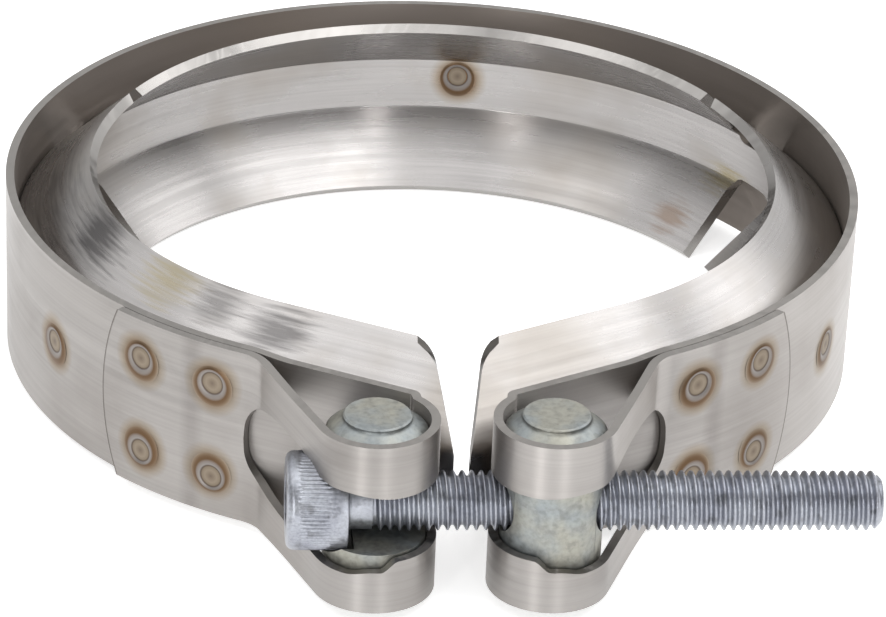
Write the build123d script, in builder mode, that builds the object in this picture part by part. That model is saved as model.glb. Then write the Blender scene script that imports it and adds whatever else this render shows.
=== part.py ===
from build123d import *
import math
import os

# Exhaust clamp: a rolled strap whose two ends are folded into loops round
# cross pins, a roll-formed V liner inside it, and one socket-head bolt.
# Frame: the ring axis is Z, mid-height is Z = 0, the clamp opens towards -Y
# and the bolt lies along X. Angles are measured from the opening.
# All lengths are in millimetres and all angles in degrees.

# Strap
ring_outer_radius = 61.0
strap_thickness = 1.2
band_width = 25.5
loop_width = band_width - 1.0
straight_end_angle = 28.0
layer_gap = 0.1
plate_corner_angle = 46.4
plate_end_bulge = 2.8
plate_end_margin_angle = 5.6
plate_leave_run = 3.0
plate_bend_radius = 6.0
narrowing_start_x = 22.0
narrowing_end_x = 28.0

# Loops round the cross pins
pin_spacing = 23.2
pin_diameter = 13.5
pin_loop_clearance = 0.25
joggle_depth = 0.8
joggle_end_angle = 20.0
joggle_slope_angle = 55.0
joggle_inside_radius = 0.4

# Slot that lets the bolt and its head through the strap
slot_end_x = 27.9
slot_end_radius = 5.6
slot_head_height = 13.6
slot_pin_height = 12.4
slot_tip_height = 9.4
slot_head_x = 13.4
slot_pin_x = 10.9
slot_step_run = 1.5
slot_corner_radius = 0.7

# V liner
liner_thickness = 1.5
liner_seat_clearance = 0.05
web_half_height = 4.0
leg_run_in = 10.4
leg_rise = 9.25
liner_bend_radius = 1.8
liner_gap_at_web = 2.2
liner_gap_at_rim = 6.8
notch_angle = 118.8
notch_root_width = 9.0
notch_rim_width = 4.0
notch_corner_radius = 2.2
notch_web_half_height = 3.0

# Cross pins
pin_shoulder_inset = 1.75
boss_diameter = 9.0
boss_rise = 2.4
boss_chamfer = 0.5
pin_edge_chamfer = 0.3
flat_distance = 2.8
flat_height = 14.0
flat_edge_chamfer = 1.0
pin_slot_height = 8.8
bolt_hole_clearance = 0.05
bolt_hole_chamfer = 0.6
bolt_hole_chamfer_angle = 45.0
center_mark_diameter = 1.2
center_mark_tip_diameter = 0.6
center_mark_depth = 0.6
center_mark_sides = 12

# Bolt
bolt_diameter = 7.9
bolt_length = 70.0
bolt_tip_chamfer = 1.0
neck_diameter = 7.2
neck_length = 1.6
head_diameter = 13.0
head_height = 8.0
head_end_chamfer = 0.8
head_seat_chamfer = 0.3
head_seat_clearance = 0.8
socket_flats = 6.0
socket_sides = 6
socket_depth = 4.5

# Spot welds
outer_weld_angle = 42.2
inner_weld_angle = 31.4
weld_height = 6.6
side_weld_angle = 61.5
liner_weld_angle = 172.2
weld_dent_diameter = 4.6
weld_dent_sides = 12
weld_dent_depth = 0.12
weld_nugget_size = 2.8

# Derived places
pin_shoulder_height = loop_width - 2 * pin_shoulder_inset
boss_top_height = pin_shoulder_height + 2 * boss_rise
end_sin = math.sin(math.radians(straight_end_angle))
end_cos = math.cos(math.radians(straight_end_angle))
band_line = ring_outer_radius - strap_thickness / 2
plate_line = ring_outer_radius + layer_gap + strap_thickness / 2
loop_inner_radius = pin_diameter / 2 + pin_loop_clearance
loop_line = loop_inner_radius + strap_thickness / 2
pin_out = ring_outer_radius + joggle_depth + loop_inner_radius
pin_along = (pin_out * end_sin - pin_spacing / 2) / end_cos
pin_x = pin_spacing / 2
pin_y = -pin_out * end_cos - pin_along * end_sin
cut_reach = 2 * ring_outer_radius
half_turn = 180
quarter_turn = 90


def end_point(along, out):
    """Point beside the opening: along the straight end, out from the ring axis."""
    return (out * end_sin - along * end_cos, -out * end_cos - along * end_sin)


def radial_plane(angle, distance):
    """Plane facing outwards at an angle from the opening; its y is Z."""
    turn = math.radians(angle)
    out = Vector(math.sin(turn), -math.cos(turn), 0)
    side = Vector(math.cos(turn), math.sin(turn), 0)
    return Plane(origin=out * distance, x_dir=side, z_dir=out)


# The outer layer leaves the band on a line that meets the loop as a tangent.
lift_along = pin_along - plate_leave_run
lift_out = pin_out - plate_line
lift_angle = math.degrees(
    math.asin(loop_line / math.hypot(lift_along, lift_out))
    + math.atan2(lift_out, lift_along)
)
lift_sin = math.sin(math.radians(lift_angle))
lift_cos = math.cos(math.radians(lift_angle))
bend_tangent = plate_bend_radius * math.tan(math.radians(lift_angle / 2))
loop_start = (pin_along - loop_line * lift_sin, pin_out + loop_line * lift_cos)

# The inner layer steps outwards to the loop through two small reverse bends.
joggle_radius = joggle_inside_radius + strap_thickness / 2
slope_sin = math.sin(math.radians(joggle_slope_angle))
slope_cos = math.cos(math.radians(joggle_slope_angle))
joggle_cos = math.cos(math.radians(joggle_end_angle))
joggle_rise = joggle_depth + loop_line * (1 - joggle_cos)
joggle_bends = joggle_radius * (1 - slope_cos) + joggle_radius * (joggle_cos - slope_cos)
joggle_leg = (joggle_rise - joggle_bends) / slope_sin
joggle_turn = joggle_slope_angle - joggle_end_angle

back_turn = quarter_turn - straight_end_angle - joggle_end_angle
plate_face_radius = ring_outer_radius + layer_gap + strap_thickness
plate_reach_angle = plate_corner_angle + plate_end_margin_angle
plate_plane = radial_plane(plate_corner_angle, ring_outer_radius)
pin_plane = Plane((pin_x, pin_y, 0))

# Strap: the outer layer first, from the plate's end to the tip of the loop.
with BuildPart() as band:
    with BuildSketch():
        with BuildLine():
            CenterArc(
                (0, 0),
                plate_line,
                plate_reach_angle - quarter_turn,
                straight_end_angle - plate_reach_angle,
            )
            plate_run = Line(
                end_point(0, plate_line),
                end_point(plate_leave_run - bend_tangent, plate_line),
            )
            lift_bend = JernArc(plate_run @ 1, plate_run % 1, plate_bend_radius, lift_angle)
            lift_line = Line(lift_bend @ 1, end_point(*loop_start))
            front_turn = straight_end_angle + lift_angle
            loop_front = JernArc(lift_line @ 1, lift_line % 1, loop_line, -front_turn - quarter_turn)
        trace(line_width=strap_thickness)
    extrude(amount=band_width / 2, both=True)
    with BuildSketch(plate_plane):
        with BuildLine():
            end_arc = ThreePointArc(
                (0, -band_width / 2),
                (plate_end_bulge, 0),
                (0, band_width / 2),
            )
            Polyline(
                end_arc @ 1,
                (0, band_width),
                (band_width, band_width),
                (band_width, -band_width),
                (0, -band_width),
                end_arc @ 0,
            )
        make_face()
    extrude(amount=pin_diameter, both=True, mode=Mode.SUBTRACT)
    with BuildSketch(Plane.XZ.offset(ring_outer_radius * end_cos - pin_diameter)) as slot:
        with BuildLine():
            Polyline(
                (0, slot_tip_height / 2),
                (slot_pin_x - slot_step_run, slot_tip_height / 2),
                (slot_pin_x, slot_pin_height / 2),
                (slot_head_x - slot_step_run / 2, slot_pin_height / 2),
                (slot_head_x, slot_head_height / 2),
                (slot_end_x, slot_head_height / 2),
                (slot_end_x, 0),
            )
            mirror(about=Plane.XZ)
            Line((0, slot_tip_height / 2), (0, -slot_tip_height / 2))
        make_face()
        slot_corners = slot.vertices().sort_by(Axis.X)
        fillet(slot_corners[-2:], slot_end_radius)
        fillet(slot.vertices().sort_by(Axis.X)[2:10], slot_corner_radius)
    extrude(amount=cut_reach, mode=Mode.SUBTRACT)
    for angle in (outer_weld_angle, inner_weld_angle):
        with BuildSketch(radial_plane(angle, plate_face_radius - weld_dent_depth)):
            with Locations((0, weld_height), (0, -weld_height)):
                RegularPolygon(weld_dent_diameter / 2, weld_dent_sides)
        extrude(amount=strap_thickness, mode=Mode.SUBTRACT)
    # Inner layer: from the tip of the loop to the middle of the back.
    with BuildSketch():
        with BuildLine():
            loop_back = JernArc(loop_front @ 1, loop_front % 1, loop_line, -back_turn)
            joggle_in = JernArc(loop_back @ 1, loop_back % 1, joggle_radius, joggle_turn)
            joggle_line = Line(
                joggle_in @ 1,
                (joggle_in @ 1) + (joggle_in % 1) * joggle_leg,
            )
            joggle_out = JernArc(
                joggle_line @ 1,
                joggle_line % 1,
                joggle_radius,
                -joggle_slope_angle,
            )
            band_run = Line(joggle_out @ 1, end_point(0, band_line))
            CenterArc(
                (0, 0),
                band_line,
                straight_end_angle - quarter_turn,
                half_turn - straight_end_angle,
            )
        trace(line_width=strap_thickness)
    extrude(amount=band_width / 2, both=True)
    with BuildSketch(Plane((pin_x, pin_y, 0), x_dir=(0, 1, 0), z_dir=(-1, 0, 0))):
        Circle(slot_tip_height / 2)
    extrude(amount=pin_x, mode=Mode.SUBTRACT)
    with BuildSketch(Plane.XZ.offset(pin_diameter)):
        with BuildLine():
            edge_curve = Spline(
                (narrowing_start_x, loop_width / 2),
                (narrowing_end_x, band_width / 2),
                tangents=((1, 0), (1, 0)),
            )
            Polyline(
                edge_curve @ 1,
                (narrowing_end_x, band_width),
                (0, band_width),
                (0, loop_width / 2),
                edge_curve @ 0,
            )
        make_face()
        mirror(about=Plane.XZ)
    extrude(amount=cut_reach, mode=Mode.SUBTRACT)
    # Weld nuggets join the plate to the band under it.
    for angle in (outer_weld_angle, inner_weld_angle):
        with BuildSketch(radial_plane(angle, ring_outer_radius - strap_thickness / 2)):
            with Locations((0, weld_height), (0, -weld_height)):
                Rectangle(weld_nugget_size, weld_nugget_size)
        extrude(amount=strap_thickness + layer_gap)
    with BuildSketch(radial_plane(side_weld_angle, ring_outer_radius - weld_dent_depth)):
        RegularPolygon(weld_dent_diameter / 2, weld_dent_sides)
    extrude(amount=strap_thickness, mode=Mode.SUBTRACT)
    mirror(about=Plane.YZ)

# V liner: one sheet with a flat web and two sloping legs, notched twice.
liner_line = ring_outer_radius - strap_thickness - liner_seat_clearance - liner_thickness / 2
liner_inner_radius = liner_line - liner_thickness / 2
liner_outer_radius = liner_line + liner_thickness / 2
leg_length = math.hypot(leg_rise, leg_run_in)
leg_face_in = liner_thickness / 2 * leg_rise / leg_length
leg_face_up = liner_thickness / 2 * leg_run_in / leg_length
bend_shift = liner_thickness / 2 * (leg_length - leg_rise) / leg_run_in
web_corner = web_half_height + bend_shift
rim_radius = liner_line - leg_run_in
rim_height = web_corner + leg_rise
with BuildPart() as v_liner:
    start_turn = math.radians(straight_end_angle - quarter_turn)
    liner_plane = Plane(
        origin=(0, 0, 0),
        x_dir=(math.cos(start_turn), math.sin(start_turn), 0),
        z_dir=(math.sin(start_turn), -math.cos(start_turn), 0),
    )
    with BuildSketch(liner_plane) as liner_section:
        with BuildLine():
            Polyline(
                (rim_radius - leg_face_in, -rim_height + leg_face_up),
                (liner_inner_radius, -web_half_height),
                (liner_inner_radius, web_half_height),
                (rim_radius - leg_face_in, rim_height - leg_face_up),
                (rim_radius + leg_face_in, rim_height + leg_face_up),
                (liner_outer_radius, web_corner + bend_shift),
                (liner_outer_radius, -web_corner - bend_shift),
                (rim_radius + leg_face_in, -rim_height - leg_face_up),
                close=True,
            )
        make_face()
        fillet(liner_section.vertices().group_by(Axis.X)[-1], liner_bend_radius)
    extrude(amount=ring_outer_radius * end_sin / end_cos)
    revolve(liner_section.sketch, axis=Axis.Z, revolution_arc=half_turn - straight_end_angle)
    with BuildSketch(Plane.XZ):
        with BuildLine():
            Polyline(
                (-ring_outer_radius, -band_width),
                (liner_gap_at_rim / 2, -band_width),
                (liner_gap_at_rim / 2, -rim_height),
                (liner_gap_at_web / 2, -web_half_height),
                (liner_gap_at_web / 2, web_half_height),
                (liner_gap_at_rim / 2, rim_height),
                (liner_gap_at_rim / 2, band_width),
                (-ring_outer_radius, band_width),
                close=True,
            )
        make_face()
    extrude(amount=cut_reach, mode=Mode.SUBTRACT)
    with BuildSketch(radial_plane(notch_angle, 0)) as notches:
        with BuildLine():
            Polyline(
                (-notch_rim_width / 2, rim_height + liner_thickness),
                (-notch_root_width / 2, notch_web_half_height),
                (notch_root_width / 2, notch_web_half_height),
                (notch_rim_width / 2, rim_height + liner_thickness),
                close=True,
            )
        make_face()
        fillet(notches.vertices().group_by(Axis.Y)[0], notch_corner_radius)
        mirror(about=Plane.XZ)
    extrude(amount=cut_reach, mode=Mode.SUBTRACT)
    mirror(about=Plane.YZ)
    with BuildSketch(radial_plane(liner_weld_angle, liner_inner_radius + weld_dent_depth)):
        RegularPolygon(weld_dent_diameter / 2, weld_dent_sides)
    extrude(amount=-liner_thickness, mode=Mode.SUBTRACT)

# Right cross pin: drilled through for the bolt.
with BuildPart() as right_pin:
    with BuildSketch(pin_plane):
        Circle(pin_diameter / 2)
    extrude(amount=pin_shoulder_height / 2, both=True)
    chamfer(right_pin.edges().filter_by(GeomType.CIRCLE), pin_edge_chamfer)
    with BuildSketch(pin_plane):
        Circle(boss_diameter / 2)
    extrude(amount=boss_top_height / 2, both=True)
    boss_rims = right_pin.edges().filter_by(GeomType.CIRCLE).sort_by(Axis.Z)
    chamfer((boss_rims[0], boss_rims[-1]), boss_chamfer)
    bolt_hole_plane = Plane((pin_x, pin_y, 0), x_dir=(0, 1, 0), z_dir=(1, 0, 0))
    with BuildSketch(bolt_hole_plane):
        Circle(bolt_diameter / 2 + bolt_hole_clearance)
    extrude(amount=pin_diameter, both=True, mode=Mode.SUBTRACT)
    for side in (1, -1):
        mouth_plane = Plane(
            (pin_x + side * (pin_diameter / 2 - bolt_hole_chamfer), pin_y, 0),
            x_dir=(0, 1, 0),
            z_dir=(side, 0, 0),
        )
        with BuildSketch(mouth_plane):
            Circle(bolt_diameter / 2 + bolt_hole_clearance)
        extrude(amount=pin_diameter / 2, taper=-bolt_hole_chamfer_angle, mode=Mode.SUBTRACT)
    for end in (1, -1):
        mark_plane = Plane(
            (pin_x, pin_y, end * (boss_top_height / 2 - center_mark_depth)),
            z_dir=(0, 0, end),
        )
        with BuildSketch(mark_plane):
            RegularPolygon(center_mark_tip_diameter / 2, center_mark_sides)
        with BuildSketch(mark_plane.offset(center_mark_depth)):
            RegularPolygon(center_mark_diameter / 2, center_mark_sides)
        loft(mode=Mode.SUBTRACT)

# Left cross pin: flat towards the bolt head, slot open outwards for the bolt.
with BuildPart() as left_pin:
    left_plane = Plane((-pin_x, pin_y, 0))
    with BuildSketch(left_plane):
        Circle(pin_diameter / 2)
    extrude(amount=pin_shoulder_height / 2, both=True)
    chamfer(left_pin.edges().filter_by(GeomType.CIRCLE), pin_edge_chamfer)
    with BuildSketch(left_plane):
        Circle(boss_diameter / 2)
    extrude(amount=boss_top_height / 2, both=True)
    boss_rims = left_pin.edges().filter_by(GeomType.CIRCLE).sort_by(Axis.Z)
    chamfer((boss_rims[0], boss_rims[-1]), boss_chamfer)
    with BuildSketch(Plane((-pin_x - flat_distance, pin_y, 0), x_dir=(0, 1, 0), z_dir=(-1, 0, 0))):
        Rectangle(2 * pin_diameter, flat_height)
    extrude(amount=pin_diameter, mode=Mode.SUBTRACT)
    flat_edges = left_pin.edges().filter_by(Axis.Z).group_by(Axis.X)[0]
    chamfer(flat_edges, flat_edge_chamfer)
    with BuildSketch(Plane((-pin_x, pin_y, 0), x_dir=(0, 1, 0), z_dir=(1, 0, 0))):
        Circle(pin_slot_height / 2)
        with Locations((-pin_diameter / 2, 0)):
            Rectangle(pin_diameter, pin_slot_height)
    extrude(amount=pin_diameter, both=True, mode=Mode.SUBTRACT)

# Bolt: socket head, short neck, shank as its thread's outer diameter.
head_seat_x = -pin_x - flat_distance - head_seat_clearance
bolt_axis = Axis((0, pin_y, 0), (1, 0, 0))
with BuildPart() as clamp_bolt:
    with BuildSketch(Plane((0, pin_y, 0))) as bolt_section:
        with BuildLine():
            Polyline(
                (head_seat_x - head_height, 0),
                (head_seat_x - head_height, head_diameter / 2),
                (head_seat_x - head_seat_chamfer, head_diameter / 2),
                (head_seat_x, head_diameter / 2 - head_seat_chamfer),
                (head_seat_x, neck_diameter / 2),
                (head_seat_x + neck_length, neck_diameter / 2),
                (head_seat_x + neck_length, bolt_diameter / 2),
                (head_seat_x + bolt_length - bolt_tip_chamfer, bolt_diameter / 2),
                (head_seat_x + bolt_length, bolt_diameter / 2 - bolt_tip_chamfer),
                (head_seat_x + bolt_length, 0),
                close=True,
            )
        make_face()
        head_corner = bolt_section.vertices().group_by(Axis.Y)[-1].sort_by(Axis.X)[0]
        chamfer(head_corner, head_end_chamfer)
    revolve(axis=bolt_axis)
    with BuildSketch(Plane((head_seat_x - head_height, pin_y, 0), x_dir=(0, 1, 0), z_dir=(-1, 0, 0))):
        RegularPolygon(socket_flats / 2, socket_sides, major_radius=False)
    extrude(amount=-socket_depth, mode=Mode.SUBTRACT)

band.part.label = "band"
v_liner.part.label = "v_liner"
left_pin.part.label = "left_pin"
right_pin.part.label = "right_pin"
clamp_bolt.part.label = "clamp_bolt"

os.makedirs("parts", exist_ok=True)
export_step(band.part, "parts/band.step")
export_step(v_liner.part, "parts/v_liner.step")
export_step(left_pin.part, "parts/left_pin.step")
export_step(right_pin.part, "parts/right_pin.step")
export_step(clamp_bolt.part, "parts/clamp_bolt.step")
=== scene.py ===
"""Dresses the exhaust clamp: strap, V liner, cross pins and bolt, lit and framed as in a plain studio."""

import logging
import math
from dataclasses import dataclass, field
from enum import Enum
from itertools import accumulate
from typing import Iterable, Mapping, Optional, Sequence, Union

import bmesh
import bpy
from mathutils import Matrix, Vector


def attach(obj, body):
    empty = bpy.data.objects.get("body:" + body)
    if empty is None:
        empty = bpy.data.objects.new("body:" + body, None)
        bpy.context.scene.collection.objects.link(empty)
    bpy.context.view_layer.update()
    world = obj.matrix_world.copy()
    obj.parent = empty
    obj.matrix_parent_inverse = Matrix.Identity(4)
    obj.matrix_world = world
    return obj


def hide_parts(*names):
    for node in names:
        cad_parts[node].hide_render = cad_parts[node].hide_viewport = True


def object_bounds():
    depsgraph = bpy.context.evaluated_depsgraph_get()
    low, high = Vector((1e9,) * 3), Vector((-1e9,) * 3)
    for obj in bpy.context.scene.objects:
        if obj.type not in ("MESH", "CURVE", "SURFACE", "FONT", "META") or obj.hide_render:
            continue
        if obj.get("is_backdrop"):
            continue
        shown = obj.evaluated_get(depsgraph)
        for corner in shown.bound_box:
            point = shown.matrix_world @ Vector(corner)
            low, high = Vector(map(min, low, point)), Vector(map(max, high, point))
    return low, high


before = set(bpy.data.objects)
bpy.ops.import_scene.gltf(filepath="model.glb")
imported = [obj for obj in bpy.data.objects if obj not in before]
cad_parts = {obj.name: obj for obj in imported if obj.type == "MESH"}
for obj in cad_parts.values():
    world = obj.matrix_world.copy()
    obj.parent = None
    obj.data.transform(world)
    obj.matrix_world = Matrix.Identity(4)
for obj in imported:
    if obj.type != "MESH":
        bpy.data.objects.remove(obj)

MM = 0.001
FULL_TURN = 2 * math.pi
MERGE = 0.000002
SLIVER = 1e-7
SHEARED = 0.65
SAWN = 1.0
LOG = logging.getLogger("exhaust_clamp")

Point = tuple[float, float]
Triple = tuple[float, float, float]
Piece = bpy.types.Object
Material = bpy.types.Material
Shape = bmesh.types.BMesh
Socket = bpy.types.NodeSocket
Value = Union[Socket, float]
Feeds = Mapping[Union[str, int], object]
Corner = tuple[bmesh.types.BMVert, float, float]
Spot = tuple[Vector, Vector]


class Side(Enum):
    """Which half of the clamp a piece belongs to, as the sign of its X."""

    LEFT = -1
    RIGHT = 1


def smooth_step(value: float, low: float, high: float) -> float:
    """Ease from 0 to 1 between two limits.

    Args:
        value: The number to ease.
        low: Where the result leaves 0.
        high: Where the result reaches 1.

    Returns:
        The eased share from 0 to 1.
    """
    t = min(1.0, max(0.0, (value - low) / (high - low)))
    return t * t * (3 - 2 * t)


@dataclass(frozen=True)
class ClampPlan:
    """Sizes of the clamp seen from above that several pieces share, in millimetres and degrees."""

    ring_radius: float = 61.0
    sheet: float = 1.2
    end_angle: float = 28.0
    layer_gap: float = 0.1
    pin_spacing: float = 23.2
    loop_radius: float = 7.0
    joggle: float = 0.8
    leave_run: float = 3.0
    leave_radius: float = 6.0
    joggle_end: float = 20.0
    joggle_slope: float = 55.0
    joggle_radius: float = 1.0

    @property
    def pin_out(self) -> float:
        """Distance of a pin's axis from the ring's axis, square to the straight end."""
        return self.ring_radius + self.joggle + self.loop_radius

    @property
    def pin_along(self) -> float:
        """Distance of a pin's axis along the straight end."""
        turn = math.radians(self.end_angle)
        return (self.pin_out * math.sin(turn) - self.pin_spacing / 2) / math.cos(turn)

    @property
    def pin_center(self) -> Point:
        """Place of the right pin's axis."""
        return self.end_point(self.pin_along, self.pin_out)

    def end_point(self, along: float, out: float) -> Point:
        """Point beside the opening on the right half.

        Args:
            along: Distance towards the opening from where the straight end starts.
            out: Distance from the ring's axis, square to the straight end.

        Returns:
            The point's X and Y.
        """
        turn = math.radians(self.end_angle)
        sin, cos = math.sin(turn), math.cos(turn)
        return (out * sin - along * cos, -out * cos - along * sin)

    def ring_point(self, angle: float, radius: float) -> Point:
        """Point on a circle about the ring's axis, at an angle from the opening."""
        turn = math.radians(angle)
        return (radius * math.sin(turn), -radius * math.cos(turn))

    def outward(self, angle: float, side: Side = Side.RIGHT) -> Vector:
        """Direction away from the ring's axis, at an angle from the opening."""
        x, y = self.ring_point(angle, 1.0)
        return Vector((side.value * x, y, 0))


@dataclass
class Trail:
    """A line drawn by moving forward and turning, sampled as it goes."""

    point: Point
    heading: float
    samples: list[Triple] = field(default_factory=list)

    def mark(self) -> None:
        """Keep the present place and heading as a sample."""
        self.samples.append((*self.point, self.heading))

    def forward(self, length: float, step: float) -> None:
        """Move straight on.

        Args:
            length: Distance to move.
            step: Longest distance between two samples.
        """
        count = max(1, math.ceil(length / step))
        turn = math.radians(self.heading)
        for _ in range(count):
            x, y = self.point
            self.point = (x + math.cos(turn) * length / count, y + math.sin(turn) * length / count)
            self.mark()

    def turn(self, radius: float, angle: float, step: float) -> None:
        """Move along an arc.

        Args:
            radius: The arc's radius.
            angle: Degrees to turn, positive to the left.
            step: Longest distance between two samples.
        """
        count = max(1, math.ceil(abs(math.radians(angle)) * radius / step))
        reach = math.copysign(radius, angle)
        turn = math.radians(self.heading)
        x, y = self.point[0] - reach * math.sin(turn), self.point[1] + reach * math.cos(turn)
        for _ in range(count):
            self.heading += angle / count
            turn = math.radians(self.heading)
            self.point = (x + reach * math.sin(turn), y - reach * math.cos(turn))
            self.mark()


@dataclass(frozen=True)
class Ink:
    """Short ways to add and join the nodes of one tree."""

    tree: bpy.types.NodeTree

    def fill(self, node: bpy.types.Node, feeds: Feeds) -> None:
        """Feed a node's inputs.

        Args:
            node: The node.
            feeds: Sockets to link and constants to set, by the inputs' names or numbers.
        """
        for key, value in feeds.items():
            socket = node.inputs[key]
            if isinstance(value, Socket):
                self.tree.links.new(value, socket)
            else:
                socket.default_value = (*value, 1.0) if socket.type == "RGBA" else value

    def add(self, kind: str, feeds: Optional[Feeds] = None, **settings: object) -> bpy.types.Node:
        """Add a node.

        Args:
            kind: The node's type name.
            feeds: What its inputs take.
            settings: Properties to set on it first.

        Returns:
            The new node.
        """
        node = self.tree.nodes.new(kind)
        for name, value in settings.items():
            setattr(node, name, value)
        self.fill(node, feeds or {})
        return node

    def math(self, operation: str, *values: Value) -> Socket:
        """Result of a Math node on values in order."""
        return self.add("ShaderNodeMath", dict(enumerate(values)), operation=operation).outputs[0]

    def plus(self, a: Value, b: Value) -> Socket:
        """Sum of two values."""
        return self.math("ADD", a, b)

    def minus(self, a: Value, b: Value) -> Socket:
        """Difference of two values."""
        return self.math("SUBTRACT", a, b)

    def times(self, a: Value, b: Value) -> Socket:
        """Product of two values."""
        return self.math("MULTIPLY", a, b)

    def vector(self, operation: str, *values: object) -> Socket:
        """Result of a Vector Math node on values in order."""
        node = self.add("ShaderNodeVectorMath", dict(enumerate(values)), operation=operation)
        return node.outputs[int(operation in ("DISTANCE", "DOT_PRODUCT", "LENGTH"))]

    def split(self, vector: Socket) -> bpy.types.bpy_prop_collection:
        """The three parts of a vector, by name."""
        return self.add("ShaderNodeSeparateXYZ", {0: vector}).outputs

    def join(self, **parts: Value) -> Socket:
        """Vector made of parts named X, Y and Z, 0 where one is left out."""
        return self.add("ShaderNodeCombineXYZ", parts).outputs[0]

    def noise(self, vector: Socket, scale: Triple, detail: float) -> Socket:
        """Stretched noise.

        Args:
            vector: The coordinates it follows.
            scale: Waves for each unit of the three coordinates.
            detail: Octaves of finer noise.

        Returns:
            The noise value, from 0 to 1.
        """
        place = self.add("ShaderNodeMapping", {"Vector": vector, "Scale": scale}).outputs[0]
        node = self.add("ShaderNodeTexNoise", {"Vector": place, "Scale": 1.0, "Detail": detail})
        return node.outputs["Fac"]

    def ramp(self, fac: Socket, *stops: Point) -> Socket:
        """Value mapped through straight pieces, each stop a place and its value."""
        return self.colors(fac, [(at, (grey, grey, grey)) for at, grey in stops])

    def colors(self, fac: Socket, stops: Sequence[tuple[float, Triple]]) -> Socket:
        """Value mapped to colours.

        Args:
            fac: The value, from 0 to 1.
            stops: Pairs of a place and its colour.

        Returns:
            The colour.
        """
        node = self.add("ShaderNodeValToRGB", {"Fac": fac})
        marks = node.color_ramp.elements
        while len(marks) < len(stops):
            marks.new(1.0)
        for mark, (at, color) in zip(marks, stops):
            mark.position = at
            mark.color = (*color, 1.0)
        return node.outputs["Color"]

    def blend(self, share: Value, a: object, b: object, mode: str = "MIX") -> Socket:
        """Two colours or sockets mixed by the share of the second."""
        node = self.add("ShaderNodeMix", {}, data_type="RGBA", blend_type=mode)
        self.fill(node, {"Factor": share, "A": a, "B": b})
        return node.outputs["Result"]

    def shade(self, a: object, b: object) -> Socket:
        """Two colours multiplied."""
        return self.blend(1.0, a, b, "MULTIPLY")

    def nearest(self, place: Socket, spots: Sequence[Vector]) -> Socket:
        """Distance to the nearest of some points.

        Args:
            place: The coordinates to measure from.
            spots: The points, in metres.

        Returns:
            The distance in metres.
        """
        found = self.vector("DISTANCE", place, spots[0])
        for spot in spots[1:]:
            found = self.math("MINIMUM", found, self.vector("DISTANCE", place, spot))
        return found

    def bump(self, height: Socket, strength: float, distance: float) -> Socket:
        """Normal of a surface raised by a height."""
        feeds = {"Height": height, "Strength": strength, "Distance": distance}
        return self.add("ShaderNodeBump", feeds).outputs["Normal"]


def new_material(name: str) -> tuple[Material, Ink, bpy.types.Node]:
    """Start a node material.

    Args:
        name: The material's name.

    Returns:
        The material, its ink and its Principled shader.
    """
    material = bpy.data.materials.new(name)
    material.use_nodes = True
    return material, Ink(material.node_tree), material.node_tree.nodes["Principled BSDF"]


@dataclass(frozen=True)
class PlateShadeLines:
    """Painted shadow lines at the plates' curved ends and painted shade along their bends, placed in the
    strap's flat pattern, in millimetres.
    """

    length: float
    bulge: float
    half_width: float
    bend: float
    line: float = 0.3
    reach: float = 4.0
    bend_shade: float = 2.0
    # painted shade colour for the end lines and the bends
    color: Triple = (0.12, 0.105, 0.095)

    def add(self, ink: Ink, flat: Socket, base: Socket) -> Socket:
        """Paint a shadow line just inside the plates' curved ends and painted shade along their bends.

        Args:
            ink: Where the nodes are added.
            flat: The flat pattern's coordinates.
            base: The colour so far.

        Returns:
            The new colour.
        """
        split = ink.split(flat)
        # Painted shadow line just inside each plate's curved end.
        near = ink.math("MINIMUM", split["X"], ink.minus(self.length * MM, split["X"]))
        radius = (self.half_width**2 + self.bulge**2) / (2 * self.bulge) * MM
        along = ink.math("POWER", ink.minus(near, radius), 2.0)
        away = ink.math("SQRT", ink.plus(along, ink.math("POWER", split["Y"], 2.0)))
        inset = ink.math("DIVIDE", ink.minus(radius, away), self.line * MM)
        at_end = ink.math("LESS_THAN", near, self.reach * MM)
        edge = ink.times(ink.ramp(inset, (0.3, 0.85), (1.0, 0.0)), at_end)
        # Painted shade along each plate's bend.
        from_bend = ink.math("ABSOLUTE", ink.minus(near, self.bend * MM))
        bend_shade = ink.ramp(ink.times(from_bend, 1.0 / (self.bend_shade * MM)), (0.2, 0.22), (1.0, 0.0))
        return ink.blend(ink.math("MAXIMUM", edge, bend_shade), base, self.color)


@dataclass(frozen=True)
class ColorPatch:
    """A darker or yellower patch of colour with a ragged border, at a place in millimetres."""

    place: Triple
    reach: Triple
    color: Triple
    strength: float
    ragged: float = 1.9

    def add(self, ink: Ink, place: Socket, rag: Socket, base: Socket) -> Socket:
        """Blend the patch over a colour.

        Args:
            ink: Where the nodes are added.
            place: Object coordinates.
            rag: Noise that breaks up the border.
            base: The colour so far.

        Returns:
            The new colour.
        """
        away = ink.vector("SUBTRACT", place, Vector(self.place) * MM)
        length = ink.vector("LENGTH", ink.vector("DIVIDE", away, Vector(self.reach) * MM))
        border = ink.plus(length, ink.times(ink.minus(rag, 0.5), self.ragged))
        return ink.blend(ink.ramp(border, (0.25, self.strength), (1.0, 0.0)), base, self.color)


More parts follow.
